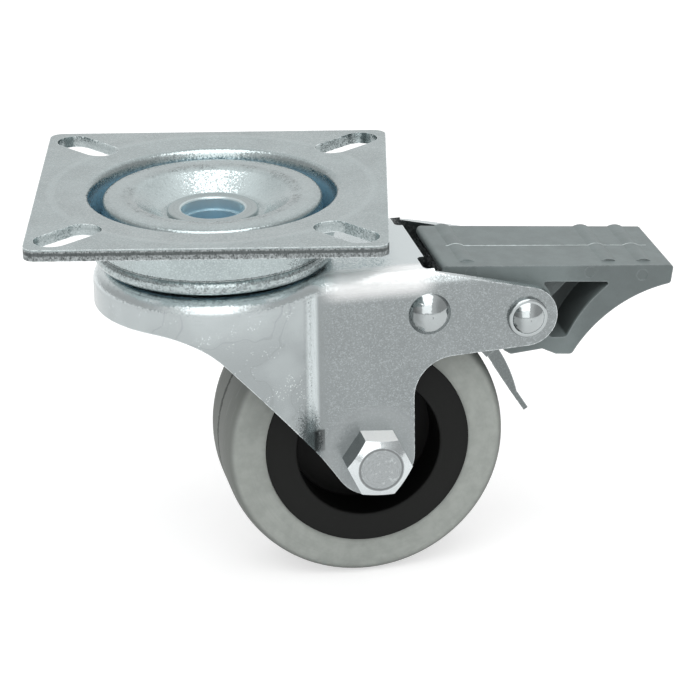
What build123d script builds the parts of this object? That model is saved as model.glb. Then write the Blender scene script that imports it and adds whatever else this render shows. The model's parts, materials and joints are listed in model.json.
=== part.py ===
from build123d import *
import math
import os

# Sizes are in millimetres. The origin is the middle of the plate's top face, on the swivel axis, with +Z up.
# The fork and all that it carries are drawn with the arms along +X and are then turned to their rest angle.
SWIVEL_REST_ANGLE = 12.0

# Plate
PLATE_SIZE = 60.0
PLATE_THICKNESS = 2.0
PLATE_CORNER_R = 2.2
SLOT_LENGTH = 13.0
SLOT_WIDTH = 6.2
SLOT_INSET = 7.0
DISH_INSET = 2.3
DISH_DROP = 0.3

# Fold round the ball track, a tapered drum that ends in a bead
FOLD_INNER_R = 18.9
FOLD_MOUTH = 2.5
FOLD_FLOOR = 0.4
FOLD_WALL = 1.7
FOLD_DEPTH = 12.3
FOLD_RIM_ROUND = 1.2
FOLD_FOOT_ROUND = 0.4
NECK_DEPTH = 9.6
NECK_WALL = 1.0
BEAD_HEIGHT = 3.0
BEAD_PROUD = 0.5

# Ball track and the seat of the kingpin
TRACK_TOP_Z = -1.03
TRACK_CROWN = 0.25
TRACK_EDGE_ROUND = 0.9
TRACK_UNDER_ROUND = 0.8
TRACK_WIDTH = 5.15
SHOULDER_ROUND = 2.5
SEAT_R = 8.94
SEAT_Z = -4.3
SEAT_ROUND = 1.0

# Bearing balls
BALL_R = 2.5
BALL_GAP = 0.2
BALL_SIDE_GAP = 0.3
RACE_CLEARANCE = 0.1
RACE_DEPTH = 0.3

# Kingpin rivet
KINGPIN_R = 6.4
KINGPIN_BORE_R = 4.9
KINGPIN_MOUTH_R = 5.4
KINGPIN_MOUTH_DEPTH = 2.3
KINGPIN_FLANGE_R = 7.9
KINGPIN_FLANGE_THICKNESS = 0.65
KINGPIN_TAIL_R = 9.0
KINGPIN_TAIL_THICKNESS = 1.25
KINGPIN_ROUND = 0.4
KINGPIN_TAIL_ROUND = 0.8
KINGPIN_CLEARANCE = 0.05

# Lower ball cup
CUP_HUB_WALL = 1.65
CUP_FLOOR = 1.5
CUP_RIM = 0.5
CUP_ROUND = 1.8

# Fork sheet and crown
FORK_SHEET = 1.6
CROWN_GAP = 0.6
CROWN_R = 21.0
CROWN_BEND_R = 3.0
VALLEY_R = 4.5
SKIRT_DEPTH = 6.7
COLLAR_SIDE_GAP = 0.6
COLLAR_ROUND = 1.0
COLLAR_FOOT_ROUND = 1.2
COLLAR_HOLE_CLEARANCE = 1.2
COLLAR_JOIN = 0.1

# Fork web, legs and arms
WEB_REAR_X = 35.2
WEB_NOTCH_DEPTH = 1.3
WEB_NOTCH_WIDTH = 5.0
WEB_NOTCH_ROUND = 0.9
SKIRT_CORNER_X = -7.2
SKIRT_CORNER_ROUND = 16.5
TIP_R = 7.2
TIP_JOIN_ANGLE = 214.0
ARM_VALLEY_ROUND = 7.2
ARM_END_R = 5.4
ARM_UNDERSIDE_SLOPE = 2.5
ARM_TOP_SLOPE = 13.5
ARM_TOP_START = 0.7

# Wheel
TRAIL = 24.7
TYRE_R = 25.0
TYRE_WIDTH = 18.0
TYRE_EDGE_DROP = 0.8
TREAD_FLAT = 12.0
TYRE_SHOULDER_ROUND = 1.6
TREAD_ROUND = 12.0
GROOVE_WIDTH = 0.5
GROOVE_DEPTH = 0.2
TYRE_DEPTH = 6.9
RIM_PROUD = 0.6
RIM_MOUTH_PROUD = 1.5
RIM_MOUTH_ROUND = 0.5
RIM_WALL = 5.4
RIM_KEY_HEIGHT = 1.5
RIM_KEY_WIDTH = 6.0
TYRE_BOND_CLEARANCE = 0.05
WHEEL_WEB = 5.0
WHEEL_BOSS_R = 6.5
WHEEL_HEADROOM = 7.25
WHEEL_SIDE_GAP = 4.2
HUB_END_GAP = 0.3
HUB_RUNNING_CLEARANCE = 0.08

# Axle
BOLT_R = 3.0
BOLT_CLEARANCE = 0.1
BOLT_HEAD_FLATS = 10.0
BOLT_HEAD_HEIGHT = 5.6
BOLT_HEAD_TURN = -4.5
BOLT_END_PROUD = 2.4
BOLT_END_ROUND = 0.5
HEX_FACE_R = 4.05
HEX_CHAMFER_SLOPE = 30.0
NUT_FLATS = 10.0
NUT_HEIGHT = 6.0
NUT_COLLAR_R = 4.4
NUT_COLLAR_HEIGHT = 1.6
NUT_CLEARANCE = 0.05
SLEEVE_R = 4.0

# Rivets through the arms, placed from the axle by distance beyond the tyre and by angle
FRONT_RIVET_ANGLE = 68.8
FRONT_RIVET_BEYOND = 2.62
REAR_RIVET_ANGLE = 40.85
REAR_RIVET_BEYOND = 11.1
RIVET_SHANK_R = 2.0
RIVET_HOLE_CLEARANCE = 0.05
PIVOT_CLEARANCE = 0.08
FRONT_HEAD_R = 3.75
FRONT_HEAD_HEIGHT = 2.2
REAR_SHOULDER_R = 3.55
REAR_SHOULDER_HEIGHT = 0.9
REAR_HEAD_R = 2.85
REAR_HEAD_HEIGHT = 1.5
TAIL_HEAD_R = 3.3
TAIL_HEAD_HEIGHT = 1.5

# Brake blade
BLADE_SHEET = 0.9
BLADE_BEYOND = 2.5
BLADE_TOP_ANGLE = 57.0
BLADE_NECK_ANGLE = 38.0
BLADE_KINK_ANGLE = 12.5
BLADE_HALF_WIDTH = 6.45
BLADE_EAR_R = 4.4
BLADE_EAR_DEPTH = 1.5
BLADE_EAR_GAP = 0.2
BLADE_LIP_REACH = 1.1
BLADE_LIP_ANGLE = 33.0
BLADE_TAIL_LENGTH = 3.8
BLADE_TAIL_FLARE = 20.0

# Brake pedal, drawn from the rear rivet
PEDAL_HALF_WIDTH = 10.6
PEDAL_TAPER = 0.5
PEDAL_HUB_R = 7.2
PEDAL_BOSS_R = 4.4
PEDAL_TOP_FRONT = (-14.5, 9.05)
PEDAL_TOP_REAR = (27.7, 5.35)
PEDAL_REAR_LOW = (27.2, 2.0)
PEDAL_BELLY = (16.4, -2.15)
PEDAL_TOE = (9.3, -9.6)
PEDAL_TOE_REAR = (6.4, -9.3)
PEDAL_ARCH = (3.9, -8.05)
PEDAL_LOBE = (-1.8, -8.5)
PEDAL_LOBE_FRONT = (-3.3, -7.5)
PEDAL_FRONT_LOW = (-13.2, 6.6)
PEDAL_THROAT = (-7.6, 5.2)
PEDAL_EDGE_ROUND = 0.6
PEDAL_CORNER_ROUND = 0.8
PEDAL_FRONT_ROUND = 2.0
POCKET_WEB = 3.0
POCKET_INNER_R = 5.7
POCKET_TOP_FRONT = (3.4, 4.55)
POCKET_TOP_REAR = (16.5, 3.25)
POCKET_ELBOW = (12.7, 0.05)
POCKET_LOW_REAR = (8.3, -6.3)
POCKET_LOW_FRONT = (5.1, -6.05)
POCKET_TOP_ROUND = 0.4
POCKET_LOW_ROUND = 1.0
GUSSET_FACE_Y = 7.5
GUSSET_LOW = (5.3, -0.5)
GUSSET_HIGH = (11.6, 5.5)
PEDAL_MARKS = ((-8.9, 7.4), (12.5, 5.4), (22.0, 4.0))
PEDAL_MARK_R = 1.0
PEDAL_MARK_DEPTH = 0.12
PEDAL_RIB_PLACES = (-9.1, 16.4, 22.8)
PEDAL_RIB_WIDTH = 2.8
PEDAL_RIB_HEIGHT = 0.4
PEDAL_RIB_START = 2.5

# Values worked out from the sizes above
SLOT_CENTRE = PLATE_SIZE / 2 - SLOT_INSET
DISH_R = PLATE_SIZE / 2 - DISH_INSET
SHOULDER_R = FOLD_INNER_R - TRACK_WIDTH
FOLD_BACK_R = FOLD_INNER_R - FOLD_WALL
COLLAR_R = FOLD_BACK_R - COLLAR_SIDE_GAP
RIM_R = TYRE_R - TYRE_DEPTH
RACE_R = BALL_R + RACE_CLEARANCE
UPPER_PITCH_R = FOLD_BACK_R - BALL_R - BALL_SIDE_GAP
TRACK_UNDER_Z = TRACK_TOP_Z - PLATE_THICKNESS
UPPER_BALL_Z = TRACK_UNDER_Z + RACE_DEPTH - RACE_R
COLLAR_TOP_Z = UPPER_BALL_Z - RACE_R + RACE_DEPTH
COLLAR_UNDER_Z = COLLAR_TOP_Z - FORK_SHEET
LOWER_BALL_Z = COLLAR_UNDER_Z + RACE_DEPTH - RACE_R
CUP_UNDER_Z = LOWER_BALL_Z - RACE_R - CUP_FLOOR
SEAT_UNDER_Z = SEAT_Z - PLATE_THICKNESS
CROWN_TOP_Z = -FOLD_DEPTH - CROWN_GAP
CROWN_UNDER_Z = CROWN_TOP_Z - FORK_SHEET
SKIRT_Z = CROWN_TOP_Z - SKIRT_DEPTH
LEG_INNER_Y = TYRE_WIDTH / 2 + WHEEL_SIDE_GAP
LEG_OUTER_Y = LEG_INNER_Y + FORK_SHEET
AXLE_X = TRAIL
AXLE_Z = CROWN_UNDER_Z - WHEEL_HEADROOM - TYRE_R
KINGPIN_HOLE_R = KINGPIN_R + KINGPIN_CLEARANCE
CUP_HUB_R = KINGPIN_HOLE_R + CUP_HUB_WALL
LOWER_PITCH_R = CUP_HUB_R + BALL_R + BALL_SIDE_GAP
BLADE_INNER_R = TYRE_R + BLADE_BEYOND
BLADE_OUTER_R = BLADE_INNER_R + BLADE_SHEET


def polar(centre, radius, angle):
    """The point at a distance and an angle in degrees from a centre."""
    turn = math.radians(angle)
    return (centre[0] + radius * math.cos(turn), centre[1] + radius * math.sin(turn))


AXLE = (AXLE_X, AXLE_Z)
FRONT_RIVET = polar(AXLE, TYRE_R + FRONT_RIVET_BEYOND, FRONT_RIVET_ANGLE)
REAR_RIVET = polar(AXLE, TYRE_R + REAR_RIVET_BEYOND, REAR_RIVET_ANGLE)


def outline(*corners):
    """A closed outline through corners, each given as across, up and corner radius."""
    points = [(across, up) for across, up, _ in corners]
    radii = [radius for _, _, radius in corners]
    return make_face(FilletPolyline(*points, radius=radii, close=True).edges())


def soften(shape, *corners):
    """Round corners of a flat shape, each given as across, up and radius."""
    for across, up, radius in corners:
        corner = shape.vertices().sort_by_distance((across, up))[0]
        shape = fillet(corner, radius)
    return shape


def box_outline(left, right, low, high):
    """A rectangle between two limits each way."""
    return Pos((left + right) / 2, (low + high) / 2) * Rectangle(right - left, high - low)


def sector(centre, inner, outer, start, end):
    """A piece of a flat ring between two angles."""
    outer_arc = CenterArc(centre, outer, start, end - start)
    inner_arc = CenterArc(centre, inner, start, end - start)
    return make_face([outer_arc, inner_arc, Line(inner_arc @ 0, outer_arc @ 0), Line(inner_arc @ 1, outer_arc @ 1)])


def spin_upright(shape):
    """Turn a section, drawn as radius and height, round the swivel axis."""
    return revolve(Plane.XZ * shape, Axis.Z)


def spin_across(shape, centre):
    """Turn a section, drawn as place across the fork and radius, round a pin through a centre."""
    middle = (centre[0], 0, centre[1])
    return revolve(Plane(origin=middle, x_dir=(0, 1, 0), z_dir=(1, 0, 0)) * shape, Axis(middle, (0, 1, 0)))


def slab(shape, near, far):
    """Give a side view, drawn as forward and up, its extent across the fork."""
    return extrude(Plane.XZ.offset(-near) * shape, amount=near - far)


def ring_race(pitch, height):
    """The ring-shaped space in which a row of balls runs."""
    return spin_upright(Pos(pitch, height) * Circle(RACE_R))


def top_plate():
    channel_outer = FOLD_INNER_R + FOLD_MOUTH
    channel_foot = FOLD_INNER_R + FOLD_FLOOR
    back_outer = channel_outer + FOLD_WALL
    neck_r = channel_foot + NECK_WALL
    bead_width = neck_r + BEAD_PROUD - FOLD_BACK_R
    bead_z = -FOLD_DEPTH + BEAD_HEIGHT / 2
    floor_z = -FOLD_DEPTH + BEAD_HEIGHT
    rim_z = -DISH_DROP * (DISH_R - channel_outer) / (DISH_R - channel_outer - FOLD_RIM_ROUND)
    under_rim_z = rim_z - PLATE_THICKNESS

    plate_arm = make_face(Polyline(
        (DISH_R, 0), (channel_outer, rim_z), (channel_foot, floor_z), (channel_foot, bead_z), (neck_r, bead_z),
        (neck_r, -NECK_DEPTH), (back_outer, under_rim_z), (DISH_R, -PLATE_THICKNESS), close=True))

    slope = math.atan2(TRACK_TOP_Z - TRACK_CROWN / 2 - SEAT_Z, SHOULDER_R - SEAT_R)
    shift = PLATE_THICKNESS * math.tan(slope / 2)
    shoulder_z = TRACK_TOP_Z - TRACK_CROWN / 2
    edge_z = TRACK_TOP_Z - TRACK_CROWN
    middle_r = (SHOULDER_R + FOLD_INNER_R) / 2
    under_shoulder_r = SHOULDER_R + (TRACK_UNDER_Z - shoulder_z + PLATE_THICKNESS / math.cos(slope)) / math.tan(slope)
    track = make_face([
        ThreePointArc((FOLD_INNER_R, edge_z), (middle_r, TRACK_TOP_Z), (SHOULDER_R, shoulder_z)),
        Polyline(
            (SHOULDER_R, shoulder_z), (SEAT_R, SEAT_Z), (KINGPIN_HOLE_R, SEAT_Z), (KINGPIN_HOLE_R, SEAT_UNDER_Z),
            (SEAT_R + shift, SEAT_UNDER_Z), (under_shoulder_r, TRACK_UNDER_Z), (FOLD_BACK_R, TRACK_UNDER_Z),
            (FOLD_BACK_R, bead_z), (FOLD_INNER_R, bead_z), (FOLD_INNER_R, edge_z)),
    ])
    bead = Pos(FOLD_BACK_R + bead_width / 2, bead_z) * SlotOverall(bead_width, BEAD_HEIGHT)
    section = soften(
        plate_arm + track + bead,
        (channel_outer, rim_z, FOLD_RIM_ROUND),
        (back_outer, under_rim_z, FOLD_FOOT_ROUND),
        (FOLD_INNER_R, edge_z, TRACK_EDGE_ROUND),
        (FOLD_BACK_R, TRACK_UNDER_Z, TRACK_UNDER_ROUND),
        (SHOULDER_R, shoulder_z, SHOULDER_ROUND),
        (SEAT_R, SEAT_Z, SEAT_ROUND))

    square = RectangleRounded(PLATE_SIZE, PLATE_SIZE, PLATE_CORNER_R) - Circle(DISH_R)
    plate = extrude(square, amount=-PLATE_THICKNESS) + spin_upright(section)
    slot = extrude(Rot(Z=45) * SlotOverall(SLOT_LENGTH, SLOT_WIDTH), amount=2 * PLATE_THICKNESS, both=True)
    for side_x in (-1, 1):
        for side_y in (-1, 1):
            turn = 0 if side_x == side_y else 90
            plate -= Pos(side_x * SLOT_CENTRE, side_y * SLOT_CENTRE) * Rot(Z=turn) * slot
    return plate - ring_race(UPPER_PITCH_R, UPPER_BALL_Z)


def kingpin_rivet():
    flange_top = SEAT_Z + KINGPIN_FLANGE_THICKNESS
    step_z = flange_top - KINGPIN_MOUTH_DEPTH
    tail_z = CUP_UNDER_Z - KINGPIN_TAIL_THICKNESS
    return spin_upright(outline(
        (KINGPIN_MOUTH_R, flange_top, KINGPIN_ROUND),
        (KINGPIN_FLANGE_R, flange_top, KINGPIN_ROUND),
        (KINGPIN_FLANGE_R, SEAT_Z, 0),
        (KINGPIN_R, SEAT_Z, 0),
        (KINGPIN_R, CUP_UNDER_Z, 0),
        (KINGPIN_TAIL_R, CUP_UNDER_Z, 0),
        (KINGPIN_TAIL_R, tail_z, KINGPIN_TAIL_ROUND),
        (KINGPIN_BORE_R, tail_z, KINGPIN_ROUND),
        (KINGPIN_BORE_R, step_z, 0),
        (KINGPIN_MOUTH_R, step_z, 0)))


def lower_ball_cup():
    rim_r = LOWER_PITCH_R + RACE_R + CUP_RIM
    rim_z = LOWER_BALL_Z - RACE_R / 2
    cup = spin_upright(outline(
        (KINGPIN_HOLE_R, SEAT_UNDER_Z, 0),
        (CUP_HUB_R, SEAT_UNDER_Z, 0),
        (CUP_HUB_R, rim_z, 0),
        (rim_r, rim_z, 0),
        (rim_r, CUP_UNDER_Z, CUP_ROUND),
        (KINGPIN_HOLE_R, CUP_UNDER_Z, 0)))
    return cup - ring_race(LOWER_PITCH_R, LOWER_BALL_Z)


def crown_plan(inset):
    """The crown and web seen from above, drawn in by an inset, with the web running past the arm ends."""
    half = LEG_OUTER_Y - inset
    reach = REAR_RIVET[0] + 2 * ARM_END_R + inset
    plan = Circle(CROWN_R - inset) + Pos(reach / 2, 0) * Rectangle(reach, 2 * half)
    join_x = math.sqrt((CROWN_R - inset) ** 2 - half ** 2)
    valleys = [plan.vertices().sort_by_distance((join_x, side * half))[0] for side in (-1, 1)]
    return fillet(valleys, VALLEY_R + inset)


def crown_block(inset, top_z):
    """The crown, web and legs as one block with a rounded top."""
    block = extrude(Pos(Z=top_z) * crown_plan(inset), amount=AXLE_Z - 2 * TIP_R - top_z)
    top_edges = block.faces().sort_by(Axis.Z)[-1].edges()
    end_x = block.bounding_box().max.X
    bends = [edge for edge in top_edges if edge.center().X < end_x - inset - 1]
    return fillet(bends, CROWN_BEND_R - inset)


def fork_side():
    """The fork's side view."""
    left = -CROWN_R - CROWN_BEND_R
    high = CROWN_TOP_Z + CROWN_BEND_R
    corner = (SKIRT_CORNER_X, SKIRT_Z)
    join = polar(AXLE, TIP_R, TIP_JOIN_ANGLE)
    run = polar((0, 0), 1, TIP_JOIN_ANGLE - 90)
    tip_low = polar(AXLE, TIP_R, 270)
    tip_rear = polar(AXLE, TIP_R, 0)
    arm_low = polar(REAR_RIVET, ARM_END_R, 270 + ARM_UNDERSIDE_SLOPE)
    arm_end = polar(REAR_RIVET, ARM_END_R, 0)
    arm_high = polar(REAR_RIVET, ARM_END_R, 90 - ARM_TOP_SLOPE)
    valley = (tip_rear[0], arm_low[1] - (arm_low[0] - tip_rear[0]) * math.tan(math.radians(ARM_UNDERSIDE_SLOPE)))
    start_x = WEB_REAR_X + ARM_TOP_START
    start = (start_x, arm_high[1] + (arm_high[0] - start_x) * math.tan(math.radians(ARM_TOP_SLOPE)))
    side = make_face([
        Polyline((start_x, high), (left, high), (left, SKIRT_Z), corner),
        TangentArc(join, corner, tangent=run),
        ThreePointArc(join, tip_low, tip_rear),
        Polyline(tip_rear, valley, arm_low),
        ThreePointArc(arm_low, arm_end, arm_high),
        Polyline(arm_high, start, (start_x, high)),
    ])
    return soften(side, (*corner, SKIRT_CORNER_ROUND), (*valley, ARM_VALLEY_ROUND))


def fork():
    half_depth = CROWN_R + CROWN_BEND_R
    sheet = crown_block(0, CROWN_TOP_Z) - crown_block(FORK_SHEET, CROWN_UNDER_Z)
    sheet = sheet & slab(fork_side(), -half_depth, half_depth)

    behind_web = box_outline(WEB_REAR_X, REAR_RIVET[0] + 2 * ARM_END_R, -LEG_INNER_Y, LEG_INNER_Y)
    notch = RectangleRounded(2 * WEB_NOTCH_WIDTH, WEB_NOTCH_WIDTH, WEB_NOTCH_ROUND)
    for side in (-1, 1):
        notch_y = side * (LEG_INNER_Y - WEB_NOTCH_WIDTH / 2)
        behind_web += Pos(WEB_REAR_X - WEB_NOTCH_DEPTH + WEB_NOTCH_WIDTH, notch_y) * notch
    sheet -= extrude(Pos(Z=CROWN_UNDER_Z) * behind_web, amount=FORK_SHEET, both=True)

    ring_r = COLLAR_R + COLLAR_FOOT_ROUND + COLLAR_JOIN
    bore_r = CUP_HUB_R + COLLAR_HOLE_CLEARANCE
    collar = spin_upright(outline(
        (ring_r, CROWN_TOP_Z, 0),
        (COLLAR_R, CROWN_TOP_Z, COLLAR_FOOT_ROUND),
        (COLLAR_R, COLLAR_TOP_Z, COLLAR_ROUND),
        (bore_r, COLLAR_TOP_Z, 0),
        (bore_r, COLLAR_UNDER_Z, 0),
        (COLLAR_R - FORK_SHEET, COLLAR_UNDER_Z, COLLAR_ROUND / 2),
        (COLLAR_R - FORK_SHEET, CROWN_UNDER_Z, COLLAR_FOOT_ROUND + FORK_SHEET),
        (ring_r, CROWN_UNDER_Z, 0)))
    sheet -= extrude(Pos(Z=CROWN_UNDER_Z) * Circle(ring_r), amount=2 * FORK_SHEET, both=True)
    sheet += collar
    sheet -= ring_race(UPPER_PITCH_R, UPPER_BALL_Z)
    sheet -= ring_race(LOWER_PITCH_R, LOWER_BALL_Z)

    holes = Pos(*AXLE) * Circle(BOLT_R + BOLT_CLEARANCE)
    for place in (FRONT_RIVET, REAR_RIVET):
        holes += Pos(*place) * Circle(RIVET_SHANK_R + RIVET_HOLE_CLEARANCE)
    return sheet - slab(holes, -half_depth, half_depth)


def hexagon(flats, near, far, turn):
    """A hexagon block across the fork, chamfered at its outer end."""
    corner_r = flats / math.sqrt(3)
    chamfer = corner_r - HEX_FACE_R
    block = slab(Pos(*AXLE) * Rot(Z=turn) * RegularPolygon(corner_r, 6), min(near, far), max(near, far))
    step = math.copysign(chamfer * math.tan(math.radians(HEX_CHAMFER_SLOPE)), far - near)
    cone = outline(
        (near, 0, 0), (near, corner_r + 1, 0), (far - step * (chamfer + 1) / chamfer, corner_r + 1, 0),
        (far, HEX_FACE_R, 0), (far, 0, 0))
    return block & spin_across(cone, AXLE)


def axle_bolt():
    end_y = LEG_OUTER_Y + NUT_HEIGHT + BOLT_END_PROUD
    head = hexagon(BOLT_HEAD_FLATS, -LEG_OUTER_Y, -LEG_OUTER_Y - BOLT_HEAD_HEIGHT, BOLT_HEAD_TURN)
    shank = spin_across(outline(
        (-LEG_OUTER_Y - BOLT_HEAD_HEIGHT / 2, 0, 0), (-LEG_OUTER_Y - BOLT_HEAD_HEIGHT / 2, BOLT_R, 0),
        (end_y, BOLT_R, BOLT_END_ROUND), (end_y, 0, 0)), AXLE)
    return head + shank


def axle_nut():
    hex_end = LEG_OUTER_Y + NUT_HEIGHT - NUT_COLLAR_HEIGHT
    body = hexagon(NUT_FLATS, LEG_OUTER_Y, hex_end, 0)
    collar = spin_across(outline(
        (hex_end - NUT_COLLAR_HEIGHT, 0, 0), (hex_end - NUT_COLLAR_HEIGHT, NUT_COLLAR_R, 0),
        (LEG_OUTER_Y + NUT_HEIGHT, NUT_COLLAR_R, NUT_COLLAR_HEIGHT / 2), (LEG_OUTER_Y + NUT_HEIGHT, 0, 0)), AXLE)
    bore = spin_across(box_outline(0, 2 * LEG_OUTER_Y, 0, BOLT_R + NUT_CLEARANCE), AXLE)
    return body + collar - bore


def axle_sleeve():
    return spin_across(box_outline(-LEG_INNER_Y, LEG_INNER_Y, BOLT_R + BOLT_CLEARANCE, SLEEVE_R), AXLE)


def wheel_hub():
    bore = SLEEVE_R + HUB_RUNNING_CLEARANCE
    boss_end = LEG_INNER_Y - HUB_END_GAP
    rim_side = TYRE_WIDTH / 2 + RIM_PROUD
    mouth_y = TYRE_WIDTH / 2 + RIM_MOUTH_PROUD
    rim_inner = RIM_R - RIM_WALL
    section = make_face(Polyline(
        (-rim_side, RIM_R), (-mouth_y, rim_inner), (mouth_y, rim_inner), (rim_side, RIM_R), close=True))
    section += box_outline(-RIM_KEY_WIDTH / 2, RIM_KEY_WIDTH / 2, rim_inner, RIM_R + RIM_KEY_HEIGHT)
    section += box_outline(-WHEEL_WEB / 2, WHEEL_WEB / 2, bore, RIM_R)
    section += box_outline(-boss_end, boss_end, bore, WHEEL_BOSS_R)
    mouths = [(side * mouth_y, rim_inner, RIM_MOUTH_ROUND) for side in (-1, 1)]
    return spin_across(soften(section, *mouths), AXLE)


def tyre():
    side_y = TYRE_WIDTH / 2
    seat_r = RIM_R + TYRE_BOND_CLEARANCE
    key_r = seat_r + RIM_KEY_HEIGHT
    key_y = RIM_KEY_WIDTH / 2 + TYRE_BOND_CLEARANCE
    edge_r = TYRE_R - TYRE_EDGE_DROP
    section = outline(
        (-side_y, seat_r, 0), (-side_y, edge_r, TYRE_SHOULDER_ROUND), (-TREAD_FLAT / 2, TYRE_R, TREAD_ROUND),
        (-GROOVE_WIDTH / 2, TYRE_R, 0), (0, TYRE_R - GROOVE_DEPTH, 0), (GROOVE_WIDTH / 2, TYRE_R, 0),
        (TREAD_FLAT / 2, TYRE_R, TREAD_ROUND), (side_y, edge_r, TYRE_SHOULDER_ROUND), (side_y, seat_r, 0),
        (key_y, seat_r, 0), (key_y, key_r, 0), (-key_y, key_r, 0), (-key_y, seat_r, 0))
    return spin_across(section, AXLE)


def dome(radius, height, base, out):
    """Half of a dome's section, from its base towards out (+1 or -1)."""
    ball_r = (radius ** 2 + height ** 2) / (2 * height)
    top = (base + out * height, 0)
    half_turn = math.asin(radius / ball_r) / 2
    middle = (base + out * (height - ball_r * (1 - math.cos(half_turn))), ball_r * math.sin(half_turn))
    return make_face([
        ThreePointArc(top, middle, (base, radius)), Polyline((base, radius), (base, 0), top)])


def rivet_shank(centre):
    half = LEG_OUTER_Y
    section = box_outline(-half, half, 0, RIVET_SHANK_R)
    return section + box_outline(half, half + TAIL_HEAD_HEIGHT, 0, TAIL_HEAD_R)


def front_rivet():
    section = rivet_shank(FRONT_RIVET) + dome(FRONT_HEAD_R, FRONT_HEAD_HEIGHT, -LEG_OUTER_Y, -1)
    section = soften(section, (LEG_OUTER_Y + TAIL_HEAD_HEIGHT, TAIL_HEAD_R, TAIL_HEAD_HEIGHT / 2))
    return spin_across(section, FRONT_RIVET)


def rear_rivet():
    shoulder_y = -LEG_OUTER_Y - REAR_SHOULDER_HEIGHT
    section = rivet_shank(REAR_RIVET) + box_outline(shoulder_y, -LEG_OUTER_Y, 0, REAR_SHOULDER_R)
    section += dome(REAR_HEAD_R, REAR_HEAD_HEIGHT, shoulder_y, -1)
    section = soften(
        section, (LEG_OUTER_Y + TAIL_HEAD_HEIGHT, TAIL_HEAD_R, TAIL_HEAD_HEIGHT / 2),
        (shoulder_y, REAR_SHOULDER_R, REAR_SHOULDER_HEIGHT / 2))
    return spin_across(section, REAR_RIVET)


def blade_ear():
    """Side view of an ear of the blade, a band beside its bridge that ends in an eye round the front rivet."""
    ear = sector(AXLE, BLADE_INNER_R - BLADE_EAR_DEPTH, BLADE_OUTER_R, BLADE_NECK_ANGLE, FRONT_RIVET_ANGLE)
    ear += Pos(*FRONT_RIVET) * Circle(BLADE_EAR_R)
    return ear - Pos(*FRONT_RIVET) * Circle(RIVET_SHANK_R + PIVOT_CLEARANCE)


def blade_lip():
    """Side view of a lip of the blade, deepest near the arm and running out at the kink."""
    low_r = TYRE_R + BLADE_LIP_REACH
    low = polar(AXLE, low_r, BLADE_LIP_ANGLE)
    lip = sector(AXLE, low_r, BLADE_OUTER_R, BLADE_KINK_ANGLE, BLADE_LIP_ANGLE)
    return lip - make_face(Polyline(AXLE, polar(AXLE, BLADE_INNER_R, BLADE_KINK_ANGLE), low, close=True))


def brake_blade():
    ear_y = LEG_INNER_Y - BLADE_EAR_GAP
    kink = polar(AXLE, BLADE_OUTER_R, BLADE_KINK_ANGLE)
    tail_run = BLADE_KINK_ANGLE - 90 + BLADE_TAIL_FLARE
    tongue_side = sector(AXLE, BLADE_INNER_R, BLADE_OUTER_R, BLADE_KINK_ANGLE, BLADE_NECK_ANGLE)
    tongue_side += Pos(*kink) * Rot(Z=tail_run) * box_outline(-BLADE_SHEET, BLADE_TAIL_LENGTH, -BLADE_SHEET, 0)
    bridge_side = sector(AXLE, BLADE_INNER_R, BLADE_OUTER_R, BLADE_NECK_ANGLE, BLADE_TOP_ANGLE)
    blade = slab(tongue_side, -BLADE_HALF_WIDTH, BLADE_HALF_WIDTH) + slab(bridge_side, -ear_y, ear_y)
    for side in (-1, 1):
        ear = sorted((side * ear_y, side * (ear_y - BLADE_SHEET)))
        lip = sorted((side * BLADE_HALF_WIDTH, side * (BLADE_HALF_WIDTH - BLADE_SHEET)))
        blade += slab(blade_ear(), *ear)
        blade += slab(blade_lip(), *lip)
    return blade


def from_rear_rivet(place):
    return (REAR_RIVET[0] + place[0], REAR_RIVET[1] + place[1])


def pedal_side():
    """The pedal's side view without its hub."""
    names = (PEDAL_REAR_LOW, PEDAL_BELLY, PEDAL_TOE, PEDAL_TOE_REAR, PEDAL_ARCH, PEDAL_LOBE, PEDAL_LOBE_FRONT)
    rear_low, belly, toe, toe_rear, arch, lobe, lobe_front = [from_rear_rivet(place) for place in names]
    top_front = from_rear_rivet(PEDAL_TOP_FRONT)
    top_rear = from_rear_rivet(PEDAL_TOP_REAR)
    side = make_face([
        Polyline(top_front, top_rear, rear_low),
        ThreePointArc(rear_low, belly, toe),
        Polyline(
            toe, toe_rear, arch, lobe, lobe_front, REAR_RIVET, from_rear_rivet(PEDAL_THROAT),
            from_rear_rivet(PEDAL_FRONT_LOW), top_front),
    ])
    side += Pos(*REAR_RIVET) * Circle(PEDAL_HUB_R)
    return soften(
        side, (*top_front, PEDAL_CORNER_ROUND), (*top_rear, PEDAL_EDGE_ROUND), (*rear_low, PEDAL_EDGE_ROUND),
        (*toe, PEDAL_CORNER_ROUND), (*lobe, PEDAL_CORNER_ROUND), (*lobe_front, PEDAL_EDGE_ROUND))


def pedal_pocket():
    """The hollow in each side of the pedal, between its hub, its top and its belly."""
    names = (POCKET_TOP_FRONT, POCKET_TOP_REAR, POCKET_ELBOW, POCKET_LOW_REAR, POCKET_LOW_FRONT)
    top_front, top_rear, elbow, low_rear, low_front = [from_rear_rivet(place) for place in names]
    hollow = make_face([
        Line(top_front, top_rear),
        ThreePointArc(top_rear, elbow, low_rear),
        Polyline(low_rear, low_front, top_front),
    ])
    hollow -= Pos(*REAR_RIVET) * Circle(POCKET_INNER_R)
    return soften(
        hollow, (*top_front, POCKET_TOP_ROUND), (*top_rear, POCKET_TOP_ROUND), (*low_rear, POCKET_LOW_ROUND),
        (*low_front, POCKET_LOW_ROUND))


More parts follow.
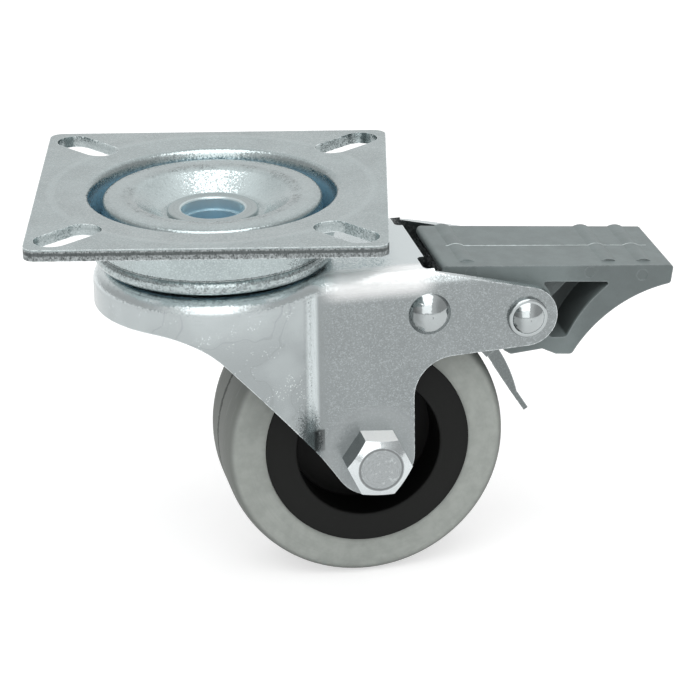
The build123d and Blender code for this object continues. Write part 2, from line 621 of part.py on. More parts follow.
def pedal_top(place):
    """Height of the pedal's top over the rear rivet, at a place along it."""
    fall = (PEDAL_TOP_FRONT[1] - PEDAL_TOP_REAR[1]) / (PEDAL_TOP_REAR[0] - PEDAL_TOP_FRONT[0])
    return PEDAL_TOP_FRONT[1] - (place - PEDAL_TOP_FRONT[0]) * fall


def pedal_rib():
    """The low hump of a rib, seen from the side and centred on the pedal's top."""
    hump_r = (PEDAL_RIB_WIDTH ** 2 / 4 + PEDAL_RIB_HEIGHT ** 2) / (2 * PEDAL_RIB_HEIGHT)
    band = box_outline(-PEDAL_RIB_WIDTH, PEDAL_RIB_WIDTH, -PEDAL_RIB_HEIGHT, PEDAL_RIB_HEIGHT)
    return Pos(0, PEDAL_RIB_HEIGHT - hump_r) * Circle(hump_r) & band


def brake_pedal():
    half = PEDAL_HALF_WIDTH
    length = PEDAL_TOP_REAR[0] - PEDAL_TOP_FRONT[0]
    front_x = from_rear_rivet(PEDAL_TOP_FRONT)[0]
    rear_x = from_rear_rivet(PEDAL_TOP_REAR)[0]
    fall_angle = math.degrees(math.atan2(pedal_top(0) - pedal_top(length), length))
    body = slab(pedal_side(), -half, half)
    for place in PEDAL_RIB_PLACES:
        middle = from_rear_rivet((place, pedal_top(place)))
        body += slab(Pos(*middle) * Rot(Z=-fall_angle) * pedal_rib(), -half + PEDAL_RIB_START, half)
    plan = soften(
        make_face(Polyline(
            (front_x, -half), (rear_x, -half + PEDAL_TAPER), (rear_x, half - PEDAL_TAPER), (front_x, half),
            close=True)),
        (front_x, -half, PEDAL_FRONT_ROUND), (front_x, half, PEDAL_FRONT_ROUND))
    reach = 2 * length
    body = body & extrude(Pos(Z=REAR_RIVET[1]) * plan, amount=reach, both=True)

    pocket = pedal_pocket()
    beside_gusset = make_face(Polyline(
        REAR_RIVET, from_rear_rivet(GUSSET_LOW), from_rear_rivet(GUSSET_HIGH), from_rear_rivet((0, GUSSET_HIGH[1])),
        close=True))
    for side in (-1, 1):
        body -= slab(pocket - beside_gusset, *sorted((side * POCKET_WEB / 2, side * 2 * half)))
        body -= slab(pocket & beside_gusset, *sorted((side * GUSSET_FACE_Y, side * 2 * half)))
        for mark in PEDAL_MARKS:
            face_y = half - PEDAL_TAPER * (mark[0] - PEDAL_TOP_FRONT[0]) / length
            dot = Pos(*from_rear_rivet(mark)) * Circle(PEDAL_MARK_R)
            body -= slab(dot, *sorted((side * (face_y - PEDAL_MARK_DEPTH), side * 2 * half)))
    boss = spin_across(box_outline(-LEG_INNER_Y + HUB_END_GAP, LEG_INNER_Y - HUB_END_GAP, 0, PEDAL_BOSS_R), REAR_RIVET)
    bore = spin_across(box_outline(-LEG_INNER_Y, LEG_INNER_Y, 0, RIVET_SHANK_R + PIVOT_CLEARANCE), REAR_RIVET)
    return body + boss - bore


def ball_row(name, pitch, height):
    """A full row of balls, as many as fit with a small gap."""
    count = int(math.pi / math.asin((BALL_R + BALL_GAP / 2) / pitch))
    row = {}
    for number in range(count):
        x, y = polar((0, 0), pitch, 360 * number / count)
        row[f"{name}_{number + 1:02d}"] = Pos(x, y, height) * Sphere(BALL_R)
    return row


def main():
    on_plate = {
        "top_plate": top_plate(),
        "kingpin_rivet": kingpin_rivet(),
        "lower_ball_cup": lower_ball_cup(),
    }
    on_fork = {
        "fork": fork(),
        "axle_bolt": axle_bolt(),
        "axle_nut": axle_nut(),
        "axle_sleeve": axle_sleeve(),
        "wheel_hub": wheel_hub(),
        "tyre": tyre(),
        "front_rivet": front_rivet(),
        "rear_rivet": rear_rivet(),
        "brake_pedal": brake_pedal(),
        "brake_blade": brake_blade(),
    }
    on_fork.update(ball_row("upper_ball", UPPER_PITCH_R, UPPER_BALL_Z))
    on_fork.update(ball_row("lower_ball", LOWER_PITCH_R, LOWER_BALL_Z))
    os.makedirs("parts", exist_ok=True)
    for name, solid in on_plate.items():
        export_step(solid, f"parts/{name}.step")
    for name, solid in on_fork.items():
        export_step(Rot(Z=SWIVEL_REST_ANGLE) * solid, f"parts/{name}.step")


main()
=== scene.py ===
import json
import math

import bmesh
import bpy
from mathutils import Matrix, Vector


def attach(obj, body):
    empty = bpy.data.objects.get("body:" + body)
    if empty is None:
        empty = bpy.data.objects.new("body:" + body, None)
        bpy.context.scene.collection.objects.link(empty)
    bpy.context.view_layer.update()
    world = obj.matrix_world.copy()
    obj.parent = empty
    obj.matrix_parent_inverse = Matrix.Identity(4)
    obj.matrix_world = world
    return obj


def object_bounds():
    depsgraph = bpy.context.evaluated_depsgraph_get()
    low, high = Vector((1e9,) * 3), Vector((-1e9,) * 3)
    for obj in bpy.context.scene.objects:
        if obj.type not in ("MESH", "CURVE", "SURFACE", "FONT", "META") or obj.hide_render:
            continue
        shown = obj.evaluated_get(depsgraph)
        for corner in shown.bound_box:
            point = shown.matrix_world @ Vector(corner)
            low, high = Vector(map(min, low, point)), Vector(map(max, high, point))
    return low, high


bl_info = {
    "name": "Swivel castor finish",
    "version": (1, 0, 0),
    "blender": (4, 5, 0),
    "location": "View3D > Sidebar > Castor",
    "description": (
        "Plated, moulded and rubber finishes, small trim and a plain studio for a braked swivel castor"),
    "category": "Object",
}

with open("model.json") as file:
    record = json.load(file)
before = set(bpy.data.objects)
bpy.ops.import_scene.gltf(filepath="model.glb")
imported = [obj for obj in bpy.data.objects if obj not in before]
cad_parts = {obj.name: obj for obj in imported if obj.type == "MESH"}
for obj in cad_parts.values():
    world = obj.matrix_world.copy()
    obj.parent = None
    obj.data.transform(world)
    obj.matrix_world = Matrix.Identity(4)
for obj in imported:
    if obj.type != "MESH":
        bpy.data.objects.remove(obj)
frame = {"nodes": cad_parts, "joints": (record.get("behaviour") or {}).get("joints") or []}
CAD_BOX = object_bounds()
MM = 0.001
NODES = frame["nodes"]
JOINTS = {joint["name"]: joint for joint in frame["joints"]}
AXLE = Vector(JOINTS["wheel_spin"]["pos_m"])
ACROSS = Vector(JOINTS["wheel_spin"]["axis"]).normalized()
REST_TURN = math.atan2(-ACROSS.x, ACROSS.y)
FORWARD = Vector((math.cos(REST_TURN), math.sin(REST_TURN), 0))
UP = Vector((0, 0, 1))
BASE_Z = CAD_BOX[0].z
BALL_NODES = [
    name for name in NODES
    if name.startswith(("upper_ball_", "lower_ball_")) and name[-1].isdigit()]

# Places that the finishes follow, in mm, in the frame of the model. Two values are a step, from 0 at the
# first to 1 at the second. Three are a band: its middle, half its width and its softness. A name that ends
# in Z is up from the plate's top, in SIDE sideways from the middle, and in OVER_AXLE up from the axle.

# Down from the corner of a sheared edge
TORN = (0.2, 0.36)
TORN_LINE = (0.85, 0.2, 0.15)

# On the plate: out from the swivel's axis, and on the square rim from the plate's two middle lines
PLATE_RIM = (28.4, 29.0)
PLATE_FLAT = (24.8, 25.6)
PRESSED_RING = (27.7, 0.35, 0.6)
DRUM = (17.6, 18.4)
DRUM_Z = (-1.6, -2.6)
TROUGH = (17.9, 18.5)
TROUGH_Z = (-1.4, -3.0)
BEAD_Z = (-9.3, -9.8)
BEAD_GROOVE_Z = (-9.6, 0.12, 0.18)
DOME_FOOT = (14.4, 12.9)
DOME_TOP = (8.4, 9.6)
DOME_MEAN_R = 11.0
DOME_SIDE = (12.0, 5.0)
DOME_CREST = (14.6, 0.5, 0.9)
DOME_SHOULDER = (16.6, 0.7, 0.8)
DOME_SHOULDER_Z = (-2.2, -1.2)
KINGPIN_BORE = (6.0, 5.5)
KINGPIN_DEEP_Z = (-3.0, -8.0)

# Of the drum's wall: its middle at the plate's top, how much that narrows with each mm down, and how far
# inside it the trough begins
DRUM_WALL_R = 22.8
DRUM_TAPER = 0.31
TROUGH_INTO_WALL = (-0.15, 0.15)

# On the fork: forward of the swivel's axis
SPARKLE = (15.0, 18.0)
SKIRT = (13.0, 12.0)
SKIRT_Z = (-27.0, -14.5)
FLANK_SIDE = (13.0, 13.6)
LEG_OUTER_SIDE = 15.0
BEND_HIGHLIGHT_FRONT = (14.5, 20.0)
BEND_HIGHLIGHT_REAR = (37.0, 32.0)
BEND_HIGHLIGHT_SIDE = (10.2, 12.6)
BEND_HIGHLIGHT_Z = (-18.2, -15.0)
CREASE = (13.8, 0.6, 1.0)
CREASE_OVER_AXLE = (6.0, 7.0)
DARK_REFLECTION = (15.0, 0.9, 0.2)
DARK_REFLECTION_OVER_AXLE = (4.2, 1.8, 0.4)

# On the fork: out from the axle, and out from the swivel's axis
NEAR_AXLE = (11.0, 8.0)
CROWN_SHOULDER = (18.4, 1.4, 1.0)

# On the bolt and the wheel: out from the axle
BOLT_CIRCLE = (3.75, 0.1, 0.12)
BOLT_FLATS = (4.2, 4.6)
THREAD = (3.1, 3.3)
THREAD_SIDE = (15.0, 15.4)
THREAD_PITCH = 1.0
TREAD = (23.4, 24.4)
TREAD_R = 25.0
PARTING_SIDE = (0.0, 0.38, 0.25)
HUB_RIM = (12.6, 13.0)
HUB_RIM_SIDE = (9.3, 9.9)

# On the pedal: forward of the swivel's axis
POCKET = (53.0, 56.0)
POCKET_SIDE = (10.0, 9.4)
PEDAL_FRONT = (63.0, 58.0)
PEDAL_REAR = (60.0, 65.0)

# Of the line of flash along the pedal, in metres, and the number of steps along it
FLASH_START_INSET = 0.003
FLASH_STOP_INSET = 0.002
FLASH_STEPS = 90
FLASH_CAST_Z = 0.05

# Of the stage, in metres. Each lamp has a name, a place, a size and a share of the lamp power. The camera's
# place is in mm and its turns are in degrees.
FLOOR_REACH = 3.0
FLOOR_GREY = (0.6, 0.6, 0.6)
FLOOR_GLOW = 0.58
GLOSS_LEVEL = 0.86
GLOSS_SIDE_DROP = 0.35
LAMPS_AIM = Vector((0.01, 0, -0.03))
LAMPS = (
    ("front_light", (0.01, -0.82, 0.36), 0.75, 1.0),
    ("top_light", (0.01, -0.33, 0.85), 0.9, 2.3),
    ("back_light", (0.1, 0.75, 0.75), 0.7, 0.12))
CAMERA_PLACE = Vector((25.4, -536.7, 187.9))
CAMERA_TURNS = ((0.27, "Z"), (67.9, "X"), (-0.83, "Z"))
SENSOR_WIDTH = 36.0
WHITE = (1, 1, 1)


class CastorPlating(bpy.types.PropertyGroup):
    """Sizes and colours of the zinc plated pieces"""
    plate_colour: bpy.props.FloatVectorProperty(
        name="Plate colour", description="Colour of the plate and of the hollow rivet in it",
        subtype="COLOR", size=3, min=0.0, max=1.0, default=(0.395, 0.45, 0.455))
    fork_colour: bpy.props.FloatVectorProperty(
        name="Fork colour", description="Colour of the crown, the legs and the arms",
        subtype="COLOR", size=3, min=0.0, max=1.0, default=(0.34, 0.37, 0.375))
    bolt_colour: bpy.props.FloatVectorProperty(
        name="Bolt colour", description="Colour of the axle bolt, its nut and its sleeve",
        subtype="COLOR", size=3, min=0.0, max=1.0, default=(0.60, 0.64, 0.65))
    rivet_colour: bpy.props.FloatVectorProperty(
        name="Rivet colour", description="Colour of the two rivets through the arms",
        subtype="COLOR", size=3, min=0.0, max=1.0, default=(0.41, 0.44, 0.445))
    blade_colour: bpy.props.FloatVectorProperty(
        name="Blade colour", description="Colour of the brake blade",
        subtype="COLOR", size=3, min=0.0, max=1.0, default=(0.34, 0.37, 0.375))
    # painted shade with a blue cast from inter-reflections: deep in the plate's trough and in the kingpin's
    # bore
    bluish_shade_colour: bpy.props.FloatVectorProperty(
        name="Trough colour", description="Bluish colour of the plating deep in the trough round the dish",
        subtype="COLOR", size=3, min=0.0, max=1.0, default=(0.15, 0.29, 0.37))
    # also the colour of painted shade: the groove over the bead, the bolt's lower flat and thread, the
    # rivets' rear sides and the blade's sides
    pit_and_shade_colour: bpy.props.FloatVectorProperty(
        name="Pit colour", description="Colour of the pits and of the torn part of the cut edges",
        subtype="COLOR", size=3, min=0.0, max=1.0, default=(0.14, 0.155, 0.155))
    grain: bpy.props.FloatProperty(
        name="Grain", description="Size of the grain of the plating",
        unit="LENGTH", precision=6, min=0.00005, max=0.002, default=0.00019)
    cloud: bpy.props.FloatProperty(
        name="Cloud", description="Size of the soft clouds in the plating",
        unit="LENGTH", precision=6, min=0.001, max=0.05, default=0.009)
    worn_edge: bpy.props.FloatProperty(
        name="Worn edge", description="Width of the bright rounding along the edges",
        unit="LENGTH", precision=6, min=0.00005, max=0.002, default=0.0003)
    roughness: bpy.props.FloatProperty(
        name="Roughness", description="Roughness of the plating",
        subtype="FACTOR", min=0.05, max=0.9, default=0.25)


class CastorBearing(bpy.types.PropertyGroup):
    """Finish of the bearing"""
    ball_colour: bpy.props.FloatVectorProperty(
        name="Ball colour", description="Colour of the bearing balls",
        subtype="COLOR", size=3, min=0.0, max=1.0, default=(0.62, 0.63, 0.65))
    ball_roughness: bpy.props.FloatProperty(
        name="Ball roughness", description="Roughness of the bearing balls",
        subtype="FACTOR", min=0.02, max=0.9, default=0.14)


class CastorWheelLook(bpy.types.PropertyGroup):
    """Sizes and colours of the wheel"""
    tread_colour: bpy.props.FloatVectorProperty(
        name="Tread colour", description="Colour of the rubber tyre",
        subtype="COLOR", size=3, min=0.0, max=1.0, default=(0.375, 0.40, 0.375))
    parting_colour: bpy.props.FloatVectorProperty(
        name="Parting line colour", description="Colour of the line round the tread",
        subtype="COLOR", size=3, min=0.0, max=1.0, default=(0.045, 0.05, 0.047))
    # the hub shows this colour only on its outer rim; everywhere else it is darkened by painted shade
    hub_colour: bpy.props.FloatVectorProperty(
        name="Hub colour", description="Colour of the plastic hub",
        subtype="COLOR", size=3, min=0.0, max=1.0, default=(0.007, 0.0075, 0.007))
    scuff: bpy.props.FloatProperty(
        name="Scuff", description="Length of the scuffs round the tread",
        unit="LENGTH", precision=6, min=0.0005, max=0.05, default=0.006)


class CastorPedalLook(bpy.types.PropertyGroup):
    """Sizes and colours of the brake pedal"""
    pedal_colour: bpy.props.FloatVectorProperty(
        name="Pedal colour", description="Colour of the plastic pedal",
        subtype="COLOR", size=3, min=0.0, max=1.0, default=(0.172, 0.204, 0.204))
    worn_colour: bpy.props.FloatVectorProperty(
        name="Worn colour", description="Colour of the rubbed edges",
        subtype="COLOR", size=3, min=0.0, max=1.0, default=(0.36, 0.40, 0.40))
    grain: bpy.props.FloatProperty(
        name="Grain", description="Size of the grain left by the mould",
        unit="LENGTH", precision=6, min=0.00005, max=0.002, default=0.00035)
    flash_width: bpy.props.FloatProperty(
        name="Flash width", description="Width of the line of flash along the middle of the top",
        unit="LENGTH", precision=6, min=0.00005, max=0.002, default=0.00035)
    flash_height: bpy.props.FloatProperty(
        name="Flash height", description="Height of the line of flash over the top",
        unit="LENGTH", precision=6, min=0.00002, max=0.001, default=0.00012)


class CastorStageLook(bpy.types.PropertyGroup):
    """Level of the studio"""
    lamp_power: bpy.props.FloatProperty(
        name="Lamp power", description="Power of the lamp in front, which the others follow",
        unit="POWER", min=0.0, max=20.0, default=2.1)
    surround: bpy.props.FloatProperty(
        name="Surround", description="Strength of the soft light from all round",
        min=0.0, max=2.0, default=0.6)
    lens: bpy.props.FloatProperty(
        name="Lens", description="Focal length of the camera, in millimetres",
        min=20.0, max=400.0, default=171.6)


class Wire:
    """A socket of a shader, so that sums on it are written as plain expressions."""

    def __init__(self, shading, socket):
        self.shading = shading
        self.socket = socket

    def out(self, name):
        return Wire(self.shading, self.socket.node.outputs[name])

    def math(self, operation, *values):
        inputs = dict(enumerate((self, *values)))
        return self.shading.node("ShaderNodeMath", {"operation": operation}, inputs)

    def __add__(self, other):
        return self.math("ADD", other)

    __radd__ = __add__

    def __mul__(self, other):
        return self.math("MULTIPLY", other)

    __rmul__ = __mul__

    def __sub__(self, other):
        return self.math("SUBTRACT", other)

    def __rsub__(self, other):
        return (self * -1) + other

    def __neg__(self):
        return self * -1

    def __pow__(self, other):
        return self.math("POWER", other)

    def __abs__(self):
        return self.math("ABSOLUTE")

    def clamp(self):
        return self.shading.node("ShaderNodeClamp", {}, {0: self})

    def step(self, low, high):
        """0 at low and 1 at high, smooth between; low may be the larger."""
        settings = {"interpolation_type": "SMOOTHSTEP"}
        if low < high:
            return self.shading.node("ShaderNodeMapRange", settings, {0: self, 1: low, 2: high})
        return 1 - self.shading.node("ShaderNodeMapRange", settings, {0: self, 1: high, 2: low})

    def band(self, middle, half, soft):
        """1 within half of the middle, falling to 0 over soft."""
        return abs(self - middle).step(half + soft, half)


class Shading:
    """A node tree and the ways to add nodes to it."""

    def __init__(self, tree):
        self.tree = tree

    def node(self, kind, settings=None, inputs=None):
        made = self.tree.nodes.new(kind)
        for key, value in (settings or {}).items():
            setattr(made, key, value)
        for key, value in (inputs or {}).items():
            if isinstance(value, Wire):
                self.tree.links.new(value.socket, made.inputs[key])
            else:
                made.inputs[key].default_value = value
        return Wire(self, made.outputs[0])

    def vector(self, operation, first, second=None, scale=None):
        inputs = {0: first}
        if second is not None:
            inputs[1] = second
        if scale is not None:
            inputs["Scale"] = scale
        return self.node("ShaderNodeVectorMath", {"operation": operation}, inputs)

    def dot(self, first, direction):
        return self.vector("DOT_PRODUCT", first, tuple(direction)).out("Value")

    def combine(self, x, y, z):
        return self.node("ShaderNodeCombineXYZ", {}, {0: x, 1: y, 2: z})

    def mix(self, factor, first, second):
        """A colour between two colours."""
        pair = {}
        for key, value in ((6, first), (7, second)):
            pair[key] = value if isinstance(value, Wire) else (*value, 1.0)
        made = self.node("ShaderNodeMix", {"data_type": "RGBA"}, {0: factor, **pair})
        return Wire(self, made.socket.node.outputs[2])


class Finish(Shading):
    """A material that is built up layer by layer. Places are in millimetres, in the frame of the model."""

    def __init__(self, name, base=None):
        self.material = bpy.data.materials.new(name)
        self.material.use_nodes = True
        super().__init__(self.material.node_tree)
        self.shader = self.tree.nodes["Principled BSDF"]
        texture = self.node("ShaderNodeTexCoord")
        self.place = self.vector("SCALE", texture.out("Object"), scale=1 / MM)
        self.own_normal = texture.out("Normal")
        self.base = base
        self.roughness = None
        self.normal = None

    def tint(self, amount, colour, by=1.0):
        """Lay a colour over the base, by an amount from 0 to 1."""
        self.base = self.mix(amount, self.base, scaled(colour, by))

    def along(self, direction, origin=(0, 0, 0)):
        """How far a place lies along a direction from an origin, both given in the model's frame, in mm."""
        return self.dot(self.place, direction) - Vector(direction).dot(Vector(origin))

    def distance(self, first, second):
        """The distance from a line, given the two places square to it."""
        return (first * first + second * second) ** 0.5

    def round_pin(self, centre):
        """Places as seen along a pin across the fork: outward from it and round it, in mm and radians."""
        forward = self.along(FORWARD, centre / MM)
        upward = self.along(UP, centre / MM)
        return self.distance(forward, upward), upward.math("ARCTAN2", forward)

    def round_swivel(self):
        """Places as seen along the swivel's axis: x, y, z and the distance outward, in mm."""
        x, y, z = self.along((1, 0, 0)), self.along((0, 1, 0)), self.along(UP)
        return x, y, z, self.distance(x, y)

    def noise(self, size, detail=2.0, rough=0.5, distortion=0.0, stretch=(1, 1, 1), where=None):
        """Soft noise with features of a size in mm."""
        where = self.vector("MULTIPLY", self.place if where is None else where, tuple(stretch))
        return self.node("ShaderNodeTexNoise", {"noise_dimensions": "3D"}, {
            "Vector": where, "Scale": 1 / size, "Detail": detail, "Roughness": rough,
            "Distortion": distortion})

    def grains(self, size):
        """A random colour for each small grain of a size in mm."""
        inputs = {"Vector": self.place, "Scale": 1 / size}
        return self.node("ShaderNodeTexVoronoi", {"feature": "F1"}, inputs).out("Color")

    def cells(self, size):
        """A random value for each small grain of a size in mm."""
        return self.node("ShaderNodeSeparateColor", {}, {0: self.grains(size)})

    def glints(self, size, amount):
        """The surface's normal, tipped at random in each small grain."""
        tip = self.vector("SCALE", self.vector("SUBTRACT", self.grains(size), (0.5, 0.5, 0.5)), scale=amount)
        normal = self.node("ShaderNodeNewGeometry").out("Normal")
        return self.vector("NORMALIZE", self.vector("ADD", normal, tip))

    def edges(self, width):
        """About 1 along the edges and 0 on flat faces, for a width in mm."""
        rounded = self.node("ShaderNodeBevel", {"samples": 4}, {"Radius": width * MM})
        normal = self.node("ShaderNodeNewGeometry").out("Normal")
        return (1 - self.vector("DOT_PRODUCT", rounded, normal).out("Value")).step(0.01, 0.16)

    def bump(self, height, strength, distance, normal=None):
        inputs = {"Height": height, "Strength": strength, "Distance": distance * MM}
        if normal is not None:
            inputs["Normal"] = normal
        return self.node("ShaderNodeBump", {}, inputs)

    def facing(self, direction):
        """How squarely a surface faces a direction of its own frame, from -1 to 1."""
        return self.dot(self.own_normal, direction)

    def set(self, **inputs):
        """Set the shader's sockets: a Wire is linked and a number or colour is set on the socket itself."""
        for key, value in inputs.items():
            socket = self.shader.inputs[key.replace("_", " ")]
            if isinstance(value, Wire):
                self.tree.links.new(value.socket, socket)
            else:
                socket.default_value = (*value, 1.0) if isinstance(value, tuple) else value
        return self.material


def scaled(colour, by=1.0):
    return tuple(min(1.0, channel * by) for channel in colour)


def zinc(name, colour, look, sparkle=0.3, rough=0.0, depth=0.012, glint=0.12, cloud=1.0):
    """Zinc plate as far as it is the same on every piece.

    The sparkle is a number, or a function that makes it from the finish.
    """
    finish = Finish(name, scaled(colour, 1 - 0.07 * cloud))
    grain = look.grain / MM
    if callable(sparkle):
        sparkle = sparkle(finish)
    clouds = finish.noise(look.cloud / MM, 3.0, 0.55, 0.5)
    smears = finish.noise(look.cloud / MM * 0.28, 4.0, 0.6, 0.3)
    grains = finish.cells(grain)
    pits = finish.noise(grain * 2.2, 2.0, 0.6).step(0.62, 0.7)
    finish.tint(clouds.step(0.3, 0.7), colour, 1 + 0.06 * cloud)
    finish.tint(smears.step(0.5, 0.8) * 0.25 * cloud, colour, 1.2)
    finish.tint(grains.step(0.6, 1.0) * 0.85 * sparkle, colour, 1.9)
    finish.tint((1 - grains).step(0.55, 1.0) * 0.4 * sparkle, colour, 0.55)
    finish.tint(pits * 0.4 * sparkle, look.pit_and_shade_colour)
    finish.roughness = clouds * 0.12 + smears * 0.08 + (look.roughness + rough - 0.1)
    ripple = finish.noise(grain * 1.6, 3.0, 0.6)
    finish.normal = finish.bump(ripple, 1.0, depth, finish.glints(grain * 1.15, glint))
    return finish


def cut_edge(finish, look, below, amount):
    """A sheared edge: bright at the corner, torn and speckled below. 'below' is the depth under it in mm."""
    dark = scaled(look.pit_and_shade_colour, 0.35)
    ragged = finish.noise(0.9, 3.0, 0.7) - 0.5
    torn = (below + ragged * 0.4).step(*TORN)
    streaks = finish.noise(0.22, 2.0, 0.6, stretch=(1, 1, 0.6)).step(0.35, 0.65)
    speckle = finish.cells(0.3).step(0.2, 0.8)
    grey = finish.mix(streaks * 0.6 + speckle * 0.4, dark, scaled(look.rivet_colour, 1.1))
    line = (below + ragged * 0.35).band(*TORN_LINE)
    grey = finish.mix(line * 0.85, grey, dark)
    finish.base = finish.mix(torn * amount, finish.base, grey)
    finish.roughness = finish.roughness + torn * amount * 0.2


def polish(finish, look, amount=0.8, metallic=1.0):
    """Add the bright, rubbed edges and set the shader."""
    worn = finish.edges(look.worn_edge / MM) * finish.noise(0.8, 2.0, 0.6).step(0.3, 0.6)
    finish.tint(worn * amount, look.rivet_colour, 2.2)
    return finish.set(
        Base_Color=finish.base, Metallic=metallic, Roughness=(finish.roughness - worn * 0.08).clamp(),
        Normal=finish.normal)


def plate_zinc(look):
    colour = look.plate_colour
    finish = zinc("plate_zinc", colour, look, sparkle=0.25, rough=-0.07, depth=0.009, glint=0.15)
    x, y, z, out = finish.round_swivel()
    side = 1 - abs(finish.facing(UP)).step(0.25, 0.5)
    flat = out.step(*PLATE_FLAT)
    rim = abs(x).math("MAXIMUM", abs(y)).step(*PLATE_RIM)
    cut_edge(finish, look, -z, side * flat * (rim * 0.75 + 0.25))
    finish.tint(side * rim * 0.3, colour, 0.35)
    # painted highlight along the pressed ring
    finish.tint(out.band(*PRESSED_RING) * (1 - side) * 0.3, colour, 1.3)
    drum = z.step(*DRUM_Z) * out.step(*DRUM)
    wall = z * DRUM_TAPER + DRUM_WALL_R
    trough = out.step(*TROUGH) * (wall - out).step(*TROUGH_INTO_WALL) * z.step(*TROUGH_Z)
    # painted shade with a blue cast deep in the trough, made less metallic at the end so that it shows
    finish.tint(trough * 0.85, look.bluish_shade_colour, 1.5)
    drawn_and_bend_highlight = finish.noise(0.5, 3.0, 0.7, stretch=(1, 1, 0.1))
    finish.tint(drum * drawn_and_bend_highlight.step(0.5, 0.8) * 0.35, colour, 0.62)
    finish.tint(z.step(*BEAD_Z) * finish.cells(0.32).step(0.35, 1.0) * 0.65, colour, 0.4)
    # painted shade in the groove over the bead
    finish.tint(z.band(*BEAD_GROOVE_Z) * flat.math("MAXIMUM", drum) * 0.75, look.pit_and_shade_colour)
    slope = out.step(*DOME_FOOT) * out.step(*DOME_TOP)
    # painted highlight on the dome's slope, weaker at its sides
    finish.tint(slope * (abs(x).step(*DOME_SIDE) * 0.6 + 0.25), colour, 1.75)
    # painted highlight in a ring round the dome's shoulder
    finish.tint(out.band(*DOME_SHOULDER) * z.step(*DOME_SHOULDER_Z) * 0.15, colour, 1.5)
    flecks = finish.cells(0.24).step(0.45, 0.9) * finish.noise(3.5, 3.0, 0.6).step(0.42, 0.6)
    finish.tint(flecks * out.band(*DOME_CREST) * (1 - side) * 0.7, colour, 0.35)
    unrolled = finish.combine(y.math("ARCTAN2", x) * DOME_MEAN_R, out, z)
    creases = finish.noise(0.45, 3.0, 0.7, stretch=(1, 0.12, 1), where=unrolled)
    finish.tint(slope * creases.step(0.52, 0.8) * 0.45, colour, 0.5)
    return polish(finish, look, metallic=1 - trough * 0.7)


def kingpin_zinc(look):
    colour = look.plate_colour
    finish = zinc(
        "kingpin_zinc", colour, look, sparkle=0.1, rough=-0.06, depth=0.004, glint=0.04, cloud=0.5)
    _, _, z, out = finish.round_swivel()
    rings = finish.noise(0.3, 2.0, 0.6, where=finish.combine(out, z, 0))
    bore = out.step(*KINGPIN_BORE)
    finish.tint(rings.step(0.45, 0.75) * 0.35, colour, 0.7)
    # painted light on the wall of the bore, made less metallic so that it shows, and painted shade with a
    # blue cast deep in it
    finish.tint(bore * 0.5, colour, 1.9)
    finish.tint(bore * z.step(*KINGPIN_DEEP_Z) * 0.7, look.bluish_shade_colour, 2.0)
    return polish(finish, look, metallic=1 - bore * 0.45)


